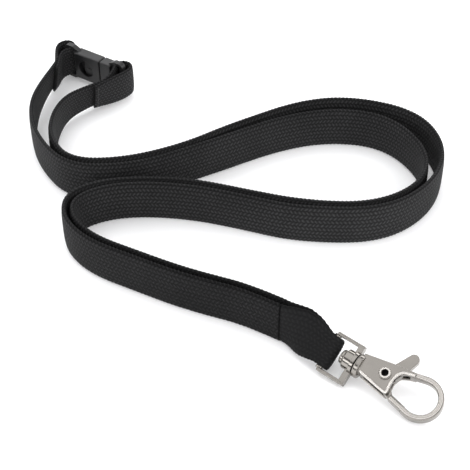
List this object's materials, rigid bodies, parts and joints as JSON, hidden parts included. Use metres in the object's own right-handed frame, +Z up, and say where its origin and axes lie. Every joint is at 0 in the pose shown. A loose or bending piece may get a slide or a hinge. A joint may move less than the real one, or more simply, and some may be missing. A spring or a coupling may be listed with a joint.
{
  "type": "lanyard",
  "caption": "Flat braided neck lanyard lying in an open S on its edge, with a breakaway safety clip and a swivelling lobster hook.",
  "frame": {"origin": "centre of the object's box, on the surface that the straps stand on", "axes": "+Z up; the loops of the strap spread along X; the hook points towards +X and -Y"},
  "size_m": [0.1417, 0.1733, 0.0151],
  "materials": {
    "braid": "matte woven",
    "thread": "matte",
    "clip_plastic": "satin",
    "nickel_plate": "satin with polished rims",
    "spring_steel": "satin"
  },
  "bodies": {
    "strap": {"strap_left": "braid", "strap_right": "braid", "fold_left": "braid", "seam_left": "thread", "hook_wrap": "braid", "seam_hook": "thread", "clip_socket": "clip_plastic"},
    "clip_half": {"clip_plug": "clip_plastic", "fold_right": "braid", "seam_right": "thread"},
    "hook_loop": {"strap_loop": "nickel_plate"},
    "hook": {"swivel_post": "nickel_plate", "hook_body": "nickel_plate", "pivot_rivet": "nickel_plate", "gate_spring": "spring_steel"},
    "lever": {"gate": "nickel_plate"}
  },
  "joints": [
    {"name": "clip_release", "type": "slide", "parent": "strap", "child": "clip_half", "axis": [0.8377, -0.5461, 0], "range_m": [0, 0.0085]},
    {"name": "loop_tilt", "type": "hinge", "parent": "strap", "child": "hook_loop", "pos_m": [0.02769, -0.06334, 0.00492], "axis": [0.5365, 0.6329, 0.5582], "range_deg": [-75, 75]},
    {"name": "hook_swivel", "type": "hinge", "parent": "hook_loop", "child": "hook", "pos_m": [0.0349, -0.06802, 0.00492], "axis": [0.7866, -0.6146, -0.0593], "continuous": true},
    {"name": "gate_pivot", "type": "hinge", "parent": "hook", "child": "lever", "pos_m": [0.0429, -0.07251, 0.00494], "axis": [-0.1873, -0.329, 0.9256], "range_deg": [0, 26], "stiffness_Nm_per_rad": 0.02, "springref_deg": -28.65}
  ]
}
